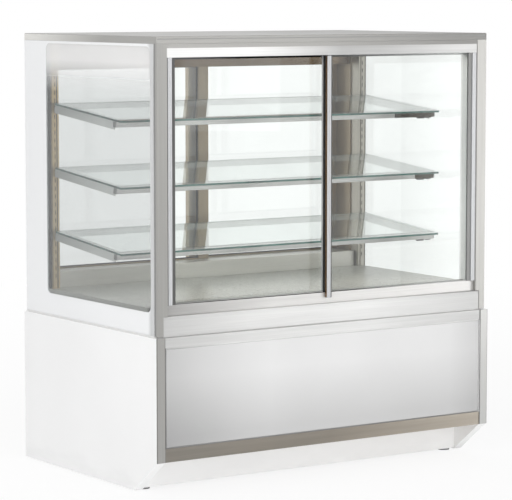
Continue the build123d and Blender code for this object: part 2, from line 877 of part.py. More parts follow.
# Rear doors: the left one on the inner track, the right one behind it
rear_door_end = rear_post_inner - rear_door_side_gap
rear_door_bottom = sill_floor + running_gap
rear_door_top = header_roof - rear_door_head_gap
rear_doors = (
    ("left", rear_inner_y, -rear_door_end, rear_door_overlap, -rear_door_end + rear_door_stile / 2),
    ("right", rear_outer_y, -rear_door_overlap, rear_door_end, rear_door_end - rear_door_stile / 2),
)
for end, door_y, low_x, high_x, pull_x in rear_doors:
    face_y = door_y + rear_door_thickness / 2
    glass_limits = (
        low_x + rear_door_stile - rear_glass_bite,
        high_x - rear_door_stile + rear_glass_bite,
        rear_door_bottom + rear_door_rail - rear_glass_bite,
        rear_door_top - rear_door_rail + rear_glass_bite,
    )
    with BuildPart() as rear_frame:
        with BuildSketch(Plane.XZ.offset(-face_y)):
            rect(low_x, high_x, rear_door_bottom, rear_door_top)
            rect(
                low_x + rear_door_stile,
                high_x - rear_door_stile,
                rear_door_bottom + rear_door_rail,
                rear_door_top - rear_door_rail,
                Mode.SUBTRACT,
            )
        extrude(amount=rear_door_thickness)
        with BuildSketch(Plane.XZ.offset(-(door_y + rear_door_glass / 2))):
            rect(*glass_limits)
        extrude(amount=rear_door_glass, mode=Mode.SUBTRACT)
        with BuildSketch(Plane.XZ.offset(-face_y)):
            with Locations((pull_x, (rear_door_bottom + rear_door_top) / 2)):
                SlotOverall(pull_height, pull_width, rotation=90)
        extrude(amount=pull_depth, mode=Mode.SUBTRACT)
    save(rear_frame, f"rear_door_frame_{end}")

    with BuildPart() as rear_pane:
        with BuildSketch(Plane.XZ.offset(-(door_y + rear_door_glass / 2))):
            rect(*glass_limits)
        extrude(amount=rear_door_glass)
    save(rear_pane, f"rear_door_glass_{end}")
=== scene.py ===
import json
import math

import bmesh
import bpy
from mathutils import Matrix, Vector


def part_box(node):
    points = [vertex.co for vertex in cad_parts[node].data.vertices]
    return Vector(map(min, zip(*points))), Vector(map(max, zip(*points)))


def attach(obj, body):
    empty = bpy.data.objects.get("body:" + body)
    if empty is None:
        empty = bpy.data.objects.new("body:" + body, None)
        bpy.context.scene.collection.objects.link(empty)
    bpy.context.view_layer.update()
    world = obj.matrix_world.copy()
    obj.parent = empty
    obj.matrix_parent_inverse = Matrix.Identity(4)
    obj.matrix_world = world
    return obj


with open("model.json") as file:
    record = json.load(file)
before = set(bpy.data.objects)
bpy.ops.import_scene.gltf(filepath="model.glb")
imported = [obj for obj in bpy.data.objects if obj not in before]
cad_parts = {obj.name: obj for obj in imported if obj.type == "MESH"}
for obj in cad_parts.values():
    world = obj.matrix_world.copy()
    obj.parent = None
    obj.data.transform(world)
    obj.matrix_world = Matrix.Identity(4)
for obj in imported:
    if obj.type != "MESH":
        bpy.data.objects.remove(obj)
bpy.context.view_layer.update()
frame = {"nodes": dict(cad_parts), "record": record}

MM = 0.001
scene = bpy.context.scene

# Camera, from a perspective fit of the photograph's edges to the part
PHOTO_WIDTH = 512
SENSOR = 36.0
FOCAL_PIXELS = 2481.8
CAMERA_YAW = math.radians(34.176)
CAMERA_PITCH = math.radians(5.869)
CAMERA_PLACE = (-4.5036, -6.6297, 1.5018)
CLIP_END = 1000
camera_data = bpy.data.cameras.new("camera")
camera_data.sensor_width = SENSOR
camera_data.lens = FOCAL_PIXELS * SENSOR / PHOTO_WIDTH
camera_data.clip_end = CLIP_END
camera = bpy.data.objects.new("camera", camera_data)
camera.location = CAMERA_PLACE
look = Vector((
    math.sin(CAMERA_YAW) * math.cos(CAMERA_PITCH),
    math.cos(CAMERA_YAW) * math.cos(CAMERA_PITCH),
    -math.sin(CAMERA_PITCH),
))
camera.rotation_euler = look.to_track_quat("-Z", "Y").to_euler()
scene.collection.objects.link(camera)
scene.camera = camera
scene.view_settings.view_transform = "Standard"

# Values of the materials: how high scuffs reach, where the painted light on the end faces grows, and where
# the painted reflection on a pane rises, in m
SCUFF_HEIGHT = 0.12
PAINTED_LIGHT_Y = (-0.08, 0.36)
REFLECTION_VEIL_RISE = (1.2, 1.3)

# Glass and its colours, of 0 to 255, and linear for what shines through or glows
GLASS_IOR = 1.5
REFLECTION_VEIL_COLOUR = (254, 254, 254)
SHELF_EDGE_GREEN = (32, 98, 88)
SHELF_FACE_COLOUR = (238, 243, 241)
PANE_SHADOW = (0.95, 0.97, 0.96, 1)
LAMP_COLOUR = (1.0, 0.96, 0.9, 1)

# Sockets of a colour Mix node, by number
MIX_FIRST = 6
MIX_SECOND = 7
MIX_RESULT = 2


# Materials
def linear(red, green, blue):
    """Turn a colour of 0 to 255 into Blender's linear values."""
    values = []
    for part in (red / 255, green / 255, blue / 255):
        values.append(part / 12.92 if part <= 0.04045 else ((part + 0.055) / 1.055) ** 2.4)
    return values


class Surface:
    """A procedural material on one Principled shader, with the node chains that feed it."""

    def __init__(self, name):
        self.material = bpy.data.materials.new(name)
        self.material.use_nodes = True
        self.nodes = self.material.node_tree.nodes
        self.links = self.material.node_tree.links
        self.shader = self.nodes["Principled BSDF"]
        self.output = self.nodes["Material Output"]
        self.coordinates = self.nodes.new("ShaderNodeTexCoord")

    def set(self, **values):
        """Constant values, straight on the shader's own sockets."""
        for key, value in values.items():
            self.shader.inputs[key.replace("_", " ")].default_value = value

    def feed(self, key, source):
        """Link a pattern to one of the shader's sockets."""
        self.links.new(source, self.shader.inputs[key])

    def noise(self, scale, detail=3.0, roughness=0.5, distortion=0.0):
        """Noise over the piece's own metres; scale is one number or one for each axis."""
        mapping = self.nodes.new("ShaderNodeMapping")
        mapping.inputs["Scale"].default_value = scale if isinstance(scale, tuple) else (scale,) * 3
        self.links.new(self.coordinates.outputs["Object"], mapping.inputs["Vector"])
        noise = self.nodes.new("ShaderNodeTexNoise")
        noise.inputs["Scale"].default_value = 1.0
        noise.inputs["Detail"].default_value = detail
        noise.inputs["Roughness"].default_value = roughness
        noise.inputs["Distortion"].default_value = distortion
        self.links.new(mapping.outputs[0], noise.inputs["Vector"])
        return noise.outputs["Fac"]

    def spread(self, source, low, high, start=0.3, end=0.7):
        """Map a pattern from start to end onto low to high."""
        node = self.nodes.new("ShaderNodeMapRange")
        for key, value in zip(("From Min", "From Max", "To Min", "To Max"), (start, end, low, high)):
            node.inputs[key].default_value = value
        self.links.new(source, node.inputs["Value"])
        return node.outputs[0]

    def math(self, operation, first, second):
        """Combine two patterns, or a pattern and a number."""
        node = self.nodes.new("ShaderNodeMath")
        node.operation = operation
        for socket, value in zip(node.inputs, (first, second)):
            if isinstance(value, (int, float)):
                socket.default_value = value
            else:
                self.links.new(value, socket)
        return node.outputs[0]

    def axis_of(self, kind, axis):
        """One axis of the piece's own Object coordinates or Normal."""
        node = self.nodes.new("ShaderNodeSeparateXYZ")
        self.links.new(self.coordinates.outputs[kind], node.inputs[0])
        return node.outputs["XYZ".index(axis)]

    def scaled(self, colour, factor):
        """A colour made lighter or darker by a pattern."""
        node = self.nodes.new("ShaderNodeVectorMath")
        node.operation = "SCALE"
        node.inputs[0].default_value = linear(*colour)
        self.links.new(factor, node.inputs["Scale"])
        return node.outputs[0]

    def mixed(self, factor, first, second):
        """Go from the first colour to the second as the pattern goes from 0 to 1."""
        node = self.nodes.new("ShaderNodeMix")
        node.data_type = "RGBA"
        self.links.new(factor, node.inputs[0])
        for socket, value in zip((node.inputs[MIX_FIRST], node.inputs[MIX_SECOND]), (first, second)):
            if isinstance(value, tuple):
                socket.default_value = (*linear(*value), 1)
            else:
                self.links.new(value, socket)
        return node.outputs[MIX_RESULT]

    def edges(self, radius, amount):
        """A pattern that is 1 on flat faces and 1 + amount on the edges: partly wear where handling has
        rubbed them, partly a painted highlight.
        """
        bevel = self.nodes.new("ShaderNodeBevel")
        bevel.samples = 4
        bevel.inputs["Radius"].default_value = radius
        flat = self.nodes.new("ShaderNodeNewGeometry")
        turn = self.nodes.new("ShaderNodeVectorMath")
        turn.operation = "DOT_PRODUCT"
        self.links.new(bevel.outputs[0], turn.inputs[0])
        self.links.new(flat.outputs["Normal"], turn.inputs[1])
        return self.spread(turn.outputs["Value"], 1 + amount, 1.0, start=0.9, end=1.0)

    def faded(self, tone, fades):
        """Paint light and shade onto a tone along the axes, each fade an axis, where it starts and ends, and
        its two factors.
        """
        for axis, start, end, first, last in fades:
            place = self.axis_of("Object", axis)
            tone = self.math("MULTIPLY", tone, self.spread(place, first, last, start, end))
        return tone

    def bump(self, height, strength, distance):
        """Fine relief."""
        node = self.nodes.new("ShaderNodeBump")
        node.inputs["Strength"].default_value = strength
        node.inputs["Distance"].default_value = distance
        self.links.new(height, node.inputs["Height"])
        self.feed("Normal", node.outputs[0])

    def lets_lamps_through(self):
        """Let lamps shine through, as a clear pane does."""
        path = self.nodes.new("ShaderNodeLightPath")
        clear = self.nodes.new("ShaderNodeBsdfTransparent")
        clear.inputs["Color"].default_value = PANE_SHADOW
        mix = self.nodes.new("ShaderNodeMixShader")
        self.links.new(path.outputs["Is Shadow Ray"], mix.inputs[0])
        self.links.new(self.shader.outputs[0], mix.inputs[1])
        self.links.new(clear.outputs[0], mix.inputs[2])
        self.links.new(mix.outputs[0], self.output.inputs["Surface"])

    def shown_white(self, share):
        """Mix in plain white for rays from the eye, a mirror or a pane, by a share from 0 to 1."""
        path = self.nodes.new("ShaderNodeLightPath")
        seen = self.math("MAXIMUM", path.outputs["Is Camera Ray"], path.outputs["Is Glossy Ray"])
        seen = self.math("MAXIMUM", seen, path.outputs["Is Transmission Ray"])
        white = self.nodes.new("ShaderNodeEmission")
        mix = self.nodes.new("ShaderNodeMixShader")
        self.links.new(self.math("MULTIPLY", seen, share), mix.inputs[0])
        self.links.new(self.shader.outputs[0], mix.inputs[1])
        self.links.new(white.outputs[0], mix.inputs[2])
        self.links.new(mix.outputs[0], self.output.inputs["Surface"])


def board(name, colour, rough=0.38, patch=0.02, scuffs=0.0, fades=(), painted_light_ends=0.0):
    """Satin laminate: soft patches, a fine pebble, scuffs near the floor, and on the end faces a painted
    light that grows rearwards.
    """
    s = Surface(name)
    pebble = s.noise(900.0, detail=2)
    patches = s.spread(s.noise(2.2, detail=2), 1 - patch, 1 + patch)
    tone = s.math("MULTIPLY", patches, s.spread(pebble, 0.99, 1.01))
    tone = s.faded(s.math("MULTIPLY", tone, s.edges(1.2 * MM, 0.05)), fades)
    if scuffs:
        marks = s.spread(s.noise((6.0, 6.0, 20.0), detail=4, roughness=0.6), 0.0, 1.0, start=0.45, end=0.7)
        height = s.spread(s.axis_of("Object", "Z"), scuffs, 0.0, start=0.0, end=SCUFF_HEIGHT)
        tone = s.math("MULTIPLY", tone, s.math("SUBTRACT", 1.0, s.math("MULTIPLY", marks, height)))
    # Painted light: end faces grow lighter towards the rear
    if painted_light_ends:
        sideways = s.math("ABSOLUTE", s.axis_of("Normal", "X"), 0.0)
        at_end = s.spread(sideways, 0.0, 1.0, start=0.7, end=0.9)
        rearward = s.spread(s.axis_of("Object", "Y"), 0.0, painted_light_ends, *PAINTED_LIGHT_Y)
        tone = s.math("MULTIPLY", tone, s.math("ADD", 1.0, s.math("MULTIPLY", at_end, rearward)))
    s.feed("Base Color", s.scaled(colour, tone))
    s.feed("Roughness", s.spread(s.noise(9.0), rough - 0.03, rough + 0.03))
    s.set(Specular_IOR_Level=0.45)
    s.bump(pebble, 0.05, 0.1 * MM)
    return s.material


def metal(name, colour, along, rough=0.36, patch=0.04, warm=None, shine=1.0, fades=()):
    """Brushed metal: streaks of three widths along one axis, edges lightened by rubbing and by a painted
    highlight, and a drift to a warmer tone.
    """
    s = Surface(name)

    def streaks(width_scale, length_scale):
        scale = [width_scale] * 3
        scale["XYZ".index(along)] = length_scale
        return s.noise(tuple(scale), detail=3, roughness=0.6)

    fine = streaks(900.0, 5.0)
    tone = s.math("MULTIPLY", s.spread(fine, 0.95, 1.05), s.spread(streaks(150.0, 2.0), 0.97, 1.03))
    tone = s.math("MULTIPLY", tone, s.spread(streaks(22.0, 0.9), 1 - patch, 1 + patch))
    tone = s.faded(s.math("MULTIPLY", tone, s.edges(1.0 * MM, 0.12)), fades)
    shade = s.scaled(colour, tone)
    if warm:
        shade = s.mixed(s.spread(s.noise(1.3, detail=2), 0.0, 1.0), shade, s.scaled(warm, tone))
    s.feed("Base Color", shade)
    s.feed("Roughness", s.spread(fine, rough - 0.07, rough + 0.07))
    s.set(Metallic=shine)
    s.bump(fine, 0.12, 0.1 * MM)
    return s.material


def painted(name, colour, rough=0.45, grain=260.0, relief=0.12, patch=0.03, shine=0.5, fades=()):
    """Powder coat, moulded plastic or rubber with a fine grain."""
    s = Surface(name)
    s.set(Specular_IOR_Level=shine)
    fine = s.noise(grain)
    tone = s.math("MULTIPLY", s.spread(s.noise(7.0), 1 - patch, 1 + patch), s.edges(0.8 * MM, 0.15))
    tone = s.faded(tone, fades)
    s.feed("Base Color", s.scaled(colour, tone))
    s.feed("Roughness", s.spread(fine, rough - 0.06, rough + 0.06))
    s.bump(fine, relief, 0.3 * MM)
    return s.material


def rubber(name, colour, rough=0.6, patch=0.08, shine=0.5, fades=()):
    """Matt rubber with a very fine grain."""
    return painted(name, colour, rough=rough, grain=700.0, patch=patch, shine=shine, fades=fades)


def pane(name, colour=(253, 255, 254), haze=0.012, reflection_veil=0.0):
    """Glass with the faint streaks that wiping leaves and, where asked, a pale painted reflection near its
    top.
    """
    s = Surface(name)
    s.set(IOR=GLASS_IOR, Roughness=0.0)
    wiped = s.noise((2.5, 2.5, 5.0), detail=4, roughness=0.6, distortion=0.6)
    clear = s.spread(wiped, 1 - 2 * haze, 1 - haze * 0.5)
    if reflection_veil:
        height = s.axis_of("Object", "Z")
        s.feed("Base Color", s.mixed(s.spread(height, 0.0, 1.0, *REFLECTION_VEIL_RISE), colour, REFLECTION_VEIL_COLOUR))
        clear = s.math("MULTIPLY", clear, s.spread(height, 1.0, 1 - reflection_veil, *REFLECTION_VEIL_RISE))
    else:
        s.set(Base_Color=(*linear(*colour), 1))
    s.feed("Transmission Weight", clear)
    s.lets_lamps_through()
    return s.material


def shelf_pane(name):
    """Shelf glass: clear through its faces, green in its polished edges."""
    s = Surface(name)
    upright = s.math("ABSOLUTE", s.axis_of("Normal", "Z"), 0.0)
    faces = s.spread(upright, 0.0, 1.0, start=0.4, end=0.9)
    edge = s.scaled(SHELF_EDGE_GREEN, s.spread(s.noise((14.0, 60.0, 60.0), detail=2), 0.55, 1.3))
    s.feed("Base Color", s.mixed(faces, edge, SHELF_FACE_COLOUR))
    s.feed("Transmission Weight", s.spread(faces, 0.3, 0.975, start=0.0, end=1.0))
    s.set(IOR=GLASS_IOR, Roughness=0.0)
    s.lets_lamps_through()
    return s.material


def opal(name, colour, glow):
    """Frosted cover of a lamp that is on, a little brighter over each diode."""
    s = Surface(name)
    diodes = s.noise((60.0, 8.0, 8.0), detail=1)
    s.feed("Base Color", s.scaled(colour, s.spread(s.noise(300.0), 0.97, 1.03)))
    s.feed("Emission Strength", s.spread(diodes, glow * 0.85, glow * 1.15))
    s.set(Roughness=0.5, Emission_Color=LAMP_COLOUR)
    return s.material


def felt(name, colour):
    """Filter mat of matted fibres."""
    s = Surface(name)
    fibres = s.noise((1400.0, 300.0, 500.0), detail=4, roughness=0.7, distortion=1.5)
    s.feed("Base Color", s.scaled(colour, s.spread(fibres, 0.7, 1.3)))
    s.set(Roughness=0.95, Sheen_Weight=0.3)
    s.bump(fibres, 0.5, 0.6 * MM)
    return s.material


# Fades of painted light and shade: the axis, where it starts and ends in metres, and the factors at its
# start and end
APRON_SHADE_LEFT = ("X", -0.62, -0.3, 0.76, 1.0)
APRON_SHADE_RIGHT = ("X", 0.15, 0.58, 1.0, 0.72)
SHADE_LOW = ("Z", 0.18, 0.36, 0.76, 1.0)
SHADE_LEFT = ("X", -0.6, -0.22, 0.66, 1.0)
SHADE_RIGHT = ("X", 0.48, 0.6, 1.0, 0.84)
TOP_SHADE_RIGHT = ("X", -0.1, 0.5, 1.0, 0.7)
RAIL_LIGHT_RIGHT = ("X", 0.0, 0.6, 1.0, 1.5)
HEADER_SHADE = ("X", -0.3, 0.05, 1.0, 0.5)
HEADER_LIGHT_RIGHT = ("X", 0.2, 0.5, 1.0, 1.25)
JAMB_SHADE_RIGHT = ("X", 0.4, 0.55, 1.0, 0.84)
SHELF_ARM_SHADE_REAR = ("Y", -0.05, 0.24, 1.0, 0.6)
SILL_SHADE_LEFT = ("X", -0.6, -0.2, 0.52, 1.0)
JOINT_LIGHT_RIGHT = ("X", 0.0, 0.5, 1.0, 1.5)
LIP_LIGHT_LEFT = ("X", -0.5, -0.3, 14.0, 1.0)
LIP_LIGHT_RIGHT = ("X", 0.1, 0.45, 1.0, 64.0)
FASCIA_SHADE_LEFT = ("X", -0.6, -0.35, 0.6, 1.0)
ENAMEL_SHADE_FRONT = ("Y", -0.362, -0.345, 0.68, 1.0)
EDGE_LINE_WIDTH = 3.5 * MM
EDGE_LINE_SHADE = 0.5


def trim_edge_shade(side):
    """Fades that paint shade along the two long edges of an edge trim."""
    trim_low, trim_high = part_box("edge_trim_right")
    return (
        ("X", side * trim_high.x, side * (trim_high.x - EDGE_LINE_WIDTH), EDGE_LINE_SHADE, 1.0),
        ("X", side * trim_low.x, side * (trim_low.x + EDGE_LINE_WIDTH), EDGE_LINE_SHADE, 1.0),
    )


# Finishes of the material slots
finishes = {
    "white_laminate": board("white_laminate", (242, 242, 242), scuffs=0.05),
    # Front panel laminate: painted shade darkens it towards the bottom, the left and the right
    "grey_laminate": board("grey_laminate", (203, 203, 203), rough=0.4, patch=0.04,
                           fades=(SHADE_LOW, SHADE_LEFT, SHADE_RIGHT)),
    # Top laminate: painted shade darkens it towards the right, and painted light grows on its end faces
    # towards the rear
    "top_laminate": board("top_laminate", (156, 155, 152), rough=0.34, fades=(TOP_SHADE_RIGHT,), painted_light_ends=1.15),
    "service_board": board("service_board", (226, 226, 224), rough=0.5),
    "edge_metal": metal("edge_metal", (172, 171, 168), "Z"),
    # Apron metal: painted shade darkens both ends
    "band_metal": metal("band_metal", (210, 210, 209), "X", patch=0.08, shine=0.6,
                        fades=(APRON_SHADE_LEFT, APRON_SHADE_RIGHT)),
    # Bottom rail: painted light grows towards the right
    "rail_bronze": metal("rail_bronze", (140, 136, 129), "X", warm=(147, 140, 130), patch=0.1,
                         fades=(RAIL_LIGHT_RIGHT,)),
    # Header metal: painted shade in its middle and painted light towards the right
    "track_metal": metal("track_metal", (226, 226, 225), "X", patch=0.1, shine=0.6,
                         fades=(HEADER_SHADE, HEADER_LIGHT_RIGHT)),
    # Jamb metal: painted shade towards the right
    "bright_profile": metal("bright_profile", (186, 187, 189), "Z", rough=0.28, shine=0.45,
                            fades=(JAMB_SHADE_RIGHT,)),
    "white_border": board("white_border", (240, 241, 242), rough=0.2, patch=0.01),
    "end_glass": pane("end_glass", haze=0.03),
    "door_glass": pane("door_glass"),
    "shelf_glass": shelf_pane("shelf_glass"),
    # Shelf arms: painted shade towards the rear
    "shelf_metal": painted("shelf_metal", (226, 227, 225), rough=0.38, fades=(SHELF_ARM_SHADE_REAR,)),
    "light_metal": metal("light_metal", (190, 189, 187), "X", rough=0.3),
    # Gold tone of the left standard: partly the steel's own warm tint, partly a painted reflection of warm
    # goods
    "standard_steel": metal("standard_steel", (196, 180, 148), "Z", warm=(230, 196, 136), patch=0.14),
    "deck_metal": painted("deck_metal", (178, 177, 171), rough=0.3, patch=0.05),
    "rear_profile": metal("rear_profile", (152, 138, 116), "Z", patch=0.06),
    "frame_steel": painted("frame_steel", (34, 34, 35), rough=0.5),
    "foot_steel": metal("foot_steel", (170, 170, 170), "Z", rough=0.3),
    "shoe_metal": metal("shoe_metal", (165, 165, 163), "X"),
    "roller_nylon": painted("roller_nylon", (226, 223, 214), rough=0.35),
    "switch_plastic": painted("switch_plastic", (28, 28, 29), rough=0.3, grain=500.0),
    "gland_plastic": painted("gland_plastic", (34, 34, 35), rough=0.45, grain=500.0),
    "driver_case": painted("driver_case", (226, 226, 222), rough=0.5, grain=400.0),
    "screw_steel": metal("screw_steel", (178, 178, 177), "Y", rough=0.25),
}

# Finishes of single nodes, in place of their slot's own
special_finishes = {
    # Sill: a darker copy of the track metal, with painted shade towards the left
    "front_sill_track": metal("sill_shaded_metal", (210, 209, 207), "X", patch=0.08, shine=0.6, fades=(SILL_SHADE_LEFT,)),
    # Rear header and sill: a darker copy of the rear profile for painted shade and a lighter copy for
    # painted light
    "rear_header": metal("rear_header_shaded_metal", (122, 106, 86), "X", patch=0.06),
    "rear_sill": metal("rear_sill_lit_metal", (206, 203, 196), "X", patch=0.06, shine=0.5),
    # Right standard: a greyer copy without most of that painted warm reflection
    "shelf_standard_right": metal("standard_grey", (178, 175, 168), "Z", warm=(192, 184, 166), patch=0.14),
    # Edge trims: painted shade on both long edges; the right copy is lighter, as painted light
    "edge_trim_left": metal("edge_metal_lined", (172, 171, 168), "Z", fades=trim_edge_shade(-1)),
    "edge_trim_right": metal("edge_metal_lit", (190, 190, 188), "Z", fades=trim_edge_shade(1)),
    # Left end glass: a darker copy of the end glass for painted shade, with a pale painted reflection near
    # its top
    "end_glass_left": pane("end_glass_shaded", (222, 224, 224), haze=0.015, reflection_veil=0.55),
}

# Finishes of the added pieces
LAMP_GLOW = 8.0
black_rubber = rubber("black_rubber", (20, 20, 20))
dark_rubber = rubber("dark_rubber", (78, 78, 77), patch=0.1)
grey_rubber = rubber("grey_rubber", (134, 134, 133), rough=0.55, patch=0.05)
# Apron joint rubber: painted light grows towards the right
pale_rubber = rubber("pale_rubber", (176, 176, 175), rough=0.55, patch=0.05, fades=(JOINT_LIGHT_RIGHT,))
# Lip rubber: black in the middle, painted light makes it pale towards both ends
lip_rubber = rubber("lip_rubber", (22, 22, 22), rough=0.7, shine=0.05, fades=(LIP_LIGHT_LEFT, LIP_LIGHT_RIGHT))
# Panel joint rubber: painted shade towards the left
fascia_rubber = rubber("fascia_rubber", (208, 208, 207), rough=0.55, patch=0.05, fades=(FASCIA_SHADE_LEFT,))
# Bronze tone of the stile strip: a painted reflection of warm goods in the metal
bronze_reflection = metal("bronze_reflection", (140, 114, 88), "Z", patch=0.12, warm=(120, 94, 70))
# Dark sleeve metal: its warm patches are painted reflections of warm goods
dark_sleeve = metal("dark_sleeve", (30, 29, 28), "X", rough=0.2, warm=(70, 60, 40), patch=0.3)
# Umber paint for the painted shadow lines on the standards
umber = painted("umber", (74, 64, 50), rough=0.4)
# Pale paint for the sheet of painted light on the right jamb's flank
pale_flank_light = painted("pale_flank_light", (246, 246, 246), rough=0.4)
seam_rubber = rubber("seam_rubber", (228, 228, 227), rough=0.5, patch=0.03)
# Enamel: painted shade near the front edge of each end glass
enamel = board("enamel", (236, 237, 238), rough=0.15, patch=0.01, fades=(ENAMEL_SHADE_FRONT,))
shelf_lamp = opal("shelf_lamp", (246, 246, 242), LAMP_GLOW)
canopy_lamp = opal("canopy_lamp", (246, 246, 242), LAMP_GLOW)
filter_felt = felt("filter_felt", (70, 71, 72))

slot_of = {part["node"]: part["material_slot"] for part in frame["record"]["subparts"]}
for name, node in frame["nodes"].items():
    if not node.material_slots:
        node.data.materials.append(None)
    for material_slot in node.material_slots:
        material_slot.material = special_finishes.get(name, finishes[slot_of[name]])

# Small rounding on the sharp edges of sawn and extruded pieces, by node or by kind of node
EDGE_ROUNDING = {
    "end_panel": 1.0 * MM, "front_panel": 0.6 * MM, "front_panel_trim": 0.5 * MM, "kick_plate": 0.5 * MM,
    "edge_trim": 0.5 * MM, "bottom_rail": 0.5 * MM, "apron": 0.6 * MM, "deck_pan": 0.5 * MM,
    "front_sill_track": 0.5 * MM, "front_header_track": 0.5 * MM, "jamb_channel": 0.5 * MM,
    "front_door_stile": 0.3 * MM, "top_panel": 0.5 * MM, "rear_post": 0.8 * MM, "rear_sill": 0.6 * MM,
    "rear_header": 0.6 * MM, "shelf_glass": 0.4 * MM, "shelf_light": 0.6 * MM, "front_door_glass": 0.5 * MM,
    "end_glass": 0.5 * MM, "rear_door_glass": 0.5 * MM, "canopy_light": 0.5 * MM,
}
WELD_DISTANCE = 0.01 * MM
SHARP_ANGLE = math.radians(30)
for name, node in frame["nodes"].items():
    for kind, width in EDGE_ROUNDING.items():
        of_kind = kind not in slot_of and name.startswith(kind + "_")
        if name == kind or of_kind:
            weld = node.modifiers.new("weld", "WELD")
            weld.merge_threshold = WELD_DISTANCE
            bevel = node.modifiers.new("bevel", "BEVEL")
            bevel.width = width
            bevel.segments = 2
            bevel.limit_method = "ANGLE"
            bevel.angle_limit = SHARP_ANGLE
            bevel.harden_normals = True


# Helpers for the added pieces
def spot(axis, u, v, level):
    """A point from its place across an axis and along it."""
    return {"X": (level, u, v), "Y": (u, level, v), "Z": (u, v, level)}[axis]


def extruded(loops, axis, start, end):
    """Closed outlines across an axis, the first with the others as its holes, pulled from start to end."""
    mesh = bmesh.new()
    caps = []
    for level in (start, end):
        rings = [[mesh.verts.new(spot(axis, u, v, level)) for u, v in loop] for loop in loops]
        outline_edges = [mesh.edges.new(pair) for ring in rings for pair in zip(ring, ring[1:] + ring[:1])]
        bmesh.ops.triangle_fill(mesh, edges=outline_edges, use_beauty=True)
        caps.append(rings)
    for low, high in zip(*caps):
        for i, corner in enumerate(low):
            follower = (i + 1) % len(low)
            mesh.faces.new((corner, low[follower], high[follower], high[i]))
    bmesh.ops.recalc_face_normals(mesh, faces=mesh.faces)
    return mesh


def rounded(u0, u1, v0, v1, radius, steps=3):
    """The outline of a rectangle with rounded corners."""
    low_u, high_u = sorted((u0, u1))
    low_v, high_v = sorted((v0, v1))
    centres = (
        (high_u - radius, high_v - radius),
        (low_u + radius, high_v - radius),
        (low_u + radius, low_v + radius),
        (high_u - radius, low_v + radius),
    )
    points = []
    for quarter, (centre_u, centre_v) in enumerate(centres):
        for step in range(steps + 1):
            angle = math.pi / 2 * (quarter + step / steps)
            points.append((centre_u + radius * math.cos(angle), centre_v + radius * math.sin(angle)))
    return points


def circle(radius, count, centre=(0.0, 0.0)):
    """The outline of a circle."""
    turns = [2 * math.pi * i / count for i in range(count)]
    return [(centre[0] + radius * math.cos(turn), centre[1] + radius * math.sin(turn)) for turn in turns]


def joined(meshes):
    """Several meshes as one."""
    whole = bmesh.new()
    for mesh in meshes:
        part = bpy.data.meshes.new("part")
        mesh.to_mesh(part)
        mesh.free()
        whole.from_mesh(part)
        bpy.data.meshes.remove(part)
    return whole


def flat_face(corners):
    """A mesh of one face."""
    mesh = bmesh.new()
    mesh.faces.new([mesh.verts.new(corner) for corner in corners])
    return mesh


def placed(name, mesh, material):
    """Put a finished mesh in the scene."""
    shape = bpy.data.meshes.new(name)
    mesh.to_mesh(shape)
    mesh.free()
    shape.materials.append(material)
    result = bpy.data.objects.new(name, shape)
    scene.collection.objects.link(result)
    return result


def piece(name, mesh, material, body):
    """Put a finished mesh in the scene, on its body and with its slot."""
    result = placed(name, mesh, material)
    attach(result, body)


def strip(name, axis, along, u, v, material, body, radius=0.4 * MM):
    """A slim straight trim with rounded edges, from its limits along and across an axis."""
    piece(name, extruded([rounded(*u, *v, radius)], axis, *along), material, body)


def offset(place, distances):
    """Two limits at their distances from one place."""
    return place + distances[0], place + distances[1]


def inside(low, high, margin):
    """Two limits drawn in by a margin."""
    return low + margin, high - margin


def at_side(side, limits):
    """Limits at the right end, taken to the end of that side."""
    return side * limits[0], side * limits[1]


SIDES = ((-1, "left"), (1, "right"))

# Three small distances that keep a piece off the face beside it, or sink it a little into that face
HAIR = 0.02 * MM
SLIT = 0.05 * MM
GAP = 0.1 * MM

# The door opening and what bounds it
header_low, header_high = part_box("front_header_track")
sill_low, sill_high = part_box("front_sill_track")
jamb_low, jamb_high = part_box("jamb_channel_right")
opening_z = (sill_high.z, header_low.z)

# Printed enamel border on each end glass, with its rounded window
BORDER_FRONT = 20 * MM
BORDER_REAR = 140 * MM
BORDER_BOTTOM = 68 * MM
BORDER_TOP = 8 * MM
WINDOW_RADIUS = 20 * MM
WINDOW_STEPS = 8
PRINT_INSET = 0.4 * MM
PRINT_CORNER = 0.3 * MM
PRINT_X = (HAIR, 0.22 * MM)
glass_low, glass_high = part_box("end_glass_right")
glass_outline = rounded(
    *inside(glass_low.y, glass_high.y, PRINT_INSET),
    *inside(glass_low.z, glass_high.z, PRINT_INSET),
    PRINT_CORNER,
)
window = rounded(
    glass_low.y + BORDER_FRONT,
    glass_high.y - BORDER_REAR,
    glass_low.z + BORDER_BOTTOM,
    glass_high.z - BORDER_TOP,
    WINDOW_RADIUS,
    WINDOW_STEPS,
)
for side, end in SIDES:
    print_x = at_side(side, offset(glass_high.x, PRINT_X))
    piece(f"enamel_{end}", extruded([glass_outline, window], "X", *print_x), enamel, "case")

# Meeting stile: a bronze side strip painted as the reflection of warm goods, a black seal behind it and a
# dark bead on its right
STILE_REFLECTION_X = (-0.7 * MM, -HAIR)
STILE_REFLECTION_Y = (0.6 * MM, 9.5 * MM)
STILE_REFLECTION_LIFT = 2 * MM
STILE_SEAL_X = (-1.4 * MM, -HAIR)
STILE_SEAL_Y = (10.3 * MM, 21 * MM)
STILE_SEAL_LIFT = 2.3 * MM
STILE_SEAL_DROP = 0.5 * MM
STILE_BEAD_X = (-2.6 * MM, 0.4 * MM)
STILE_BEAD_Y = (-0.6 * MM, 0.4 * MM)
stile_low, stile_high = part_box("front_door_stile")
strip("stile_reflection_strip", "Z", (stile_low.z + STILE_REFLECTION_LIFT, stile_high.z - MM),
      offset(stile_low.x, STILE_REFLECTION_X), offset(stile_low.y, STILE_REFLECTION_Y),
      bronze_reflection, "front_door_right", 0.2 * MM)
